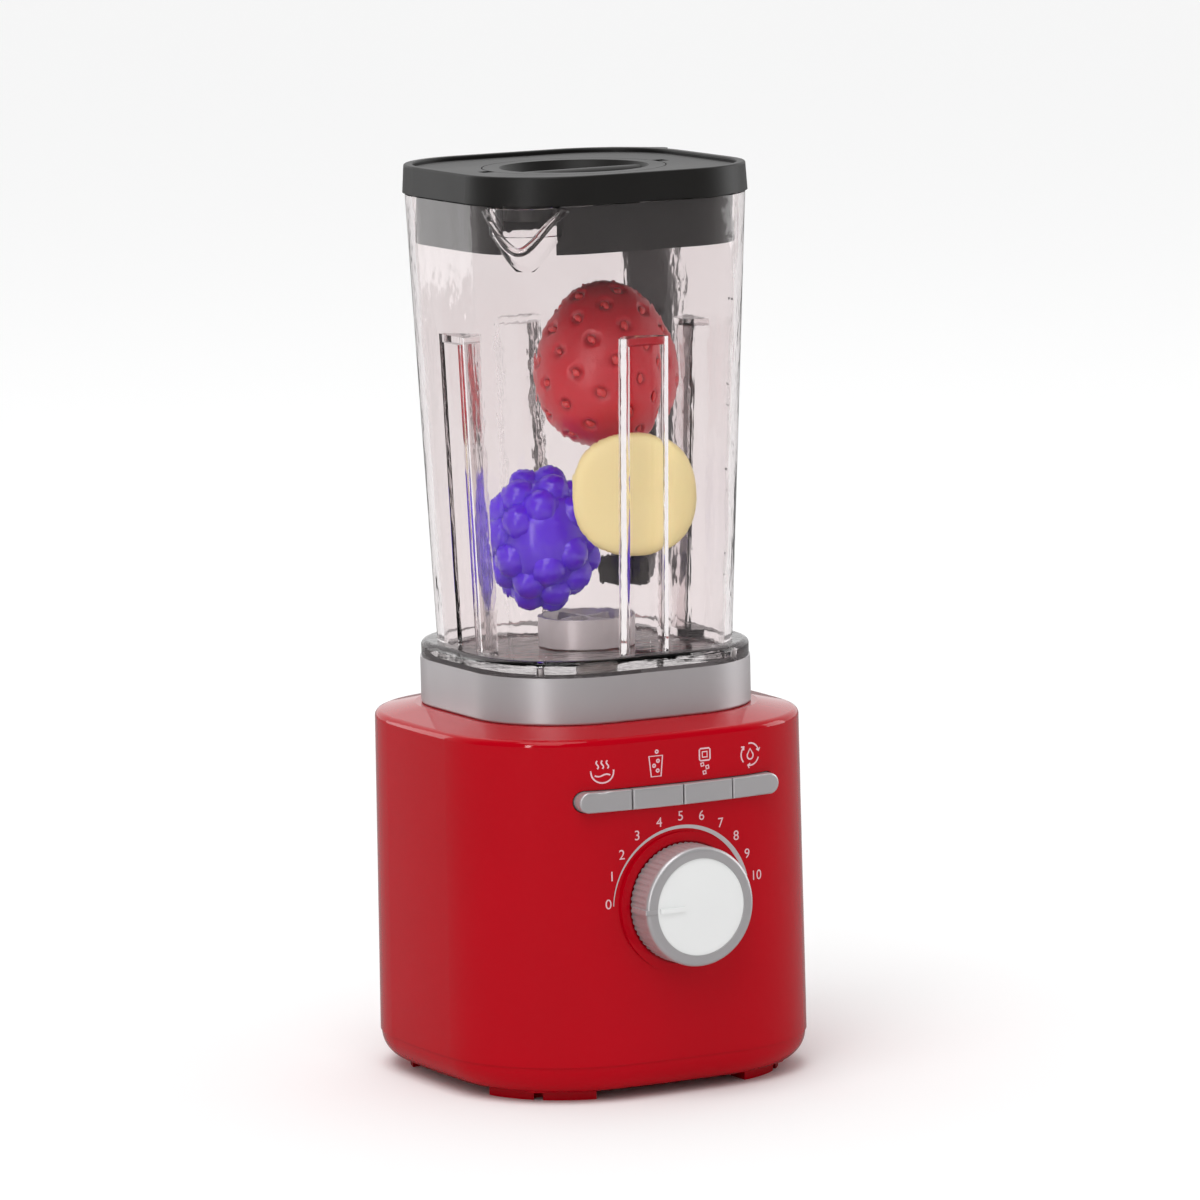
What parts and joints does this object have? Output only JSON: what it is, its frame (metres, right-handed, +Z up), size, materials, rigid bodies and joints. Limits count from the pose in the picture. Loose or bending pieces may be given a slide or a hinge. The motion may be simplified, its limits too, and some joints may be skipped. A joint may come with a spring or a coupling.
{
  "type": "toy blender",
  "caption": "Play-kitchen blender: red base with a speed knob and sprung buttons, a lift-off clear jar with spout and handle, a black lid with a filler cap, and loose play fruit.",
  "frame": {"origin": "on the floor, under the drive axis, at the middle of the base", "axes": "+Z up along the drive axis, -Y towards the front with the knob and buttons, the spout over the (-X, -Y) corner and the handle over the (+X, +Y) corner"},
  "size_m": [0.1384, 0.1507, 0.305],
  "materials": {
    "red_shell": "glossy red moulded plastic",
    "silver_satin": "satin silver paint on plastic",
    "clear_jar": "clear plastic",
    "black_lid": "matte black plastic",
    "pale_dial": "pale grey disc",
    "white_plastic": "white acetal",
    "steel": "plated steel",
    "cell_wrap": "dark sleeve",
    "circuit_board": "green laminate",
    "switch_case": "black switch case",
    "strawberry_red": "soft red vinyl",
    "berry_purple": "purple vinyl",
    "banana_yellow": "pale yellow vinyl"
  },
  "bodies": {
    "base": {"base_housing": "red_shell", "base_tray": "red_shell", "battery_door": "red_shell", "housing_screws": "steel", "battery_door_screw": "steel", "battery_cells": "cell_wrap", "battery_contacts": "steel", "motor_body": "steel", "gear_plate": "white_plastic", "gear_plate_screws": "steel", "drive_bush": "white_plastic", "switch_board": "circuit_board", "board_screws": "steel", "tact_switches": "switch_case", "rotary_switch": "switch_case"},
    "drive": {"drive_gear": "white_plastic", "drive_shaft": "steel", "drive_coupler": "white_plastic"},
    "pinion": {"motor_pinion": "white_plastic", "motor_shaft": "steel"},
    "knob": {"speed_knob": "silver_satin", "knob_disc": "pale_dial", "knob_spindle": "white_plastic"},
    "soup_key": {"button_soup": "silver_satin"},
    "smoothie_key": {"button_smoothie": "silver_satin"},
    "ice_key": {"button_ice": "silver_satin"},
    "clean_key": {"button_clean": "silver_satin"},
    "jar": {"jar_vessel": "clear_jar", "jar_collar": "silver_satin", "collar_screws": "steel", "jar_bush": "white_plastic", "jar_handle": "black_lid"},
    "rotor": {"blade_rotor": "silver_satin", "blade_shaft": "steel", "driven_coupler": "white_plastic"},
    "lid": {"lid_shell": "black_lid"},
    "cap": {"filler_cap": "black_lid"},
    "berry": {"play_berry": "berry_purple"},
    "strawberry_fruit": {"strawberry": "strawberry_red"},
    "banana": {"banana_slice": "banana_yellow"}
  },
  "joints": [
    {"name": "drive_spin", "type": "hinge", "parent": "base", "child": "drive", "pos_m": [0, 0, 0.105], "axis": [0, 0, 1], "continuous": true},
    {"name": "pinion_spin", "type": "hinge", "parent": "base", "child": "pinion", "pos_m": [0, 0.02025, 0.105], "axis": [0, 0, 1], "continuous": true},
    {"name": "knob_turn", "type": "hinge", "parent": "base", "child": "knob", "pos_m": [0, -0.0653, 0.065], "axis": [0, 1, 0], "range_deg": [0, 165]},
    {"name": "jar_lift", "type": "slide", "parent": "base", "child": "jar", "axis": [0, 0, 1], "range_m": [0, 0.08]},
    {"name": "rotor_spin", "type": "hinge", "parent": "jar", "child": "rotor", "pos_m": [0, 0, 0.148], "axis": [0, 0, 1], "continuous": true},
    {"name": "lid_lift", "type": "slide", "parent": "jar", "child": "lid", "axis": [0, 0, 1], "range_m": [0, 0.045]},
    {"name": "cap_lift", "type": "slide", "parent": "lid", "child": "cap", "axis": [0, 0, 1], "range_m": [0, 0.025]},
    {"name": "berry_hop", "type": "slide", "parent": "jar", "child": "berry", "axis": [0, 0, 1], "range_m": [0, 0.02]},
    {"name": "strawberry_hop", "type": "slide", "parent": "berry", "child": "strawberry_fruit", "axis": [0, 0, 1], "range_m": [0, 0.02]},
    {"name": "banana_hop", "type": "slide", "parent": "jar", "child": "banana", "axis": [0, 0, 1], "range_m": [0, 0.02]},
    {"name": "soup_press", "type": "slide", "parent": "base", "child": "soup_key", "axis": [0, 1, 0], "range_m": [0, 0.0015], "stiffness_N_per_m": 300},
    {"name": "smoothie_press", "type": "slide", "parent": "base", "child": "smoothie_key", "axis": [0, 1, 0], "range_m": [0, 0.0015], "stiffness_N_per_m": 300},
    {"name": "ice_press", "type": "slide", "parent": "base", "child": "ice_key", "axis": [0, 1, 0], "range_m": [0, 0.0015], "stiffness_N_per_m": 300},
    {"name": "clean_press", "type": "slide", "parent": "base", "child": "clean_key", "axis": [0, 1, 0], "range_m": [0, 0.0015], "stiffness_N_per_m": 300}
  ],
  "couplings": [
    {"joint": "pinion_spin", "follows": "drive_spin", "ratio": -2},
    {"joint": "rotor_spin", "follows": "drive_spin", "ratio": 1}
  ]
}
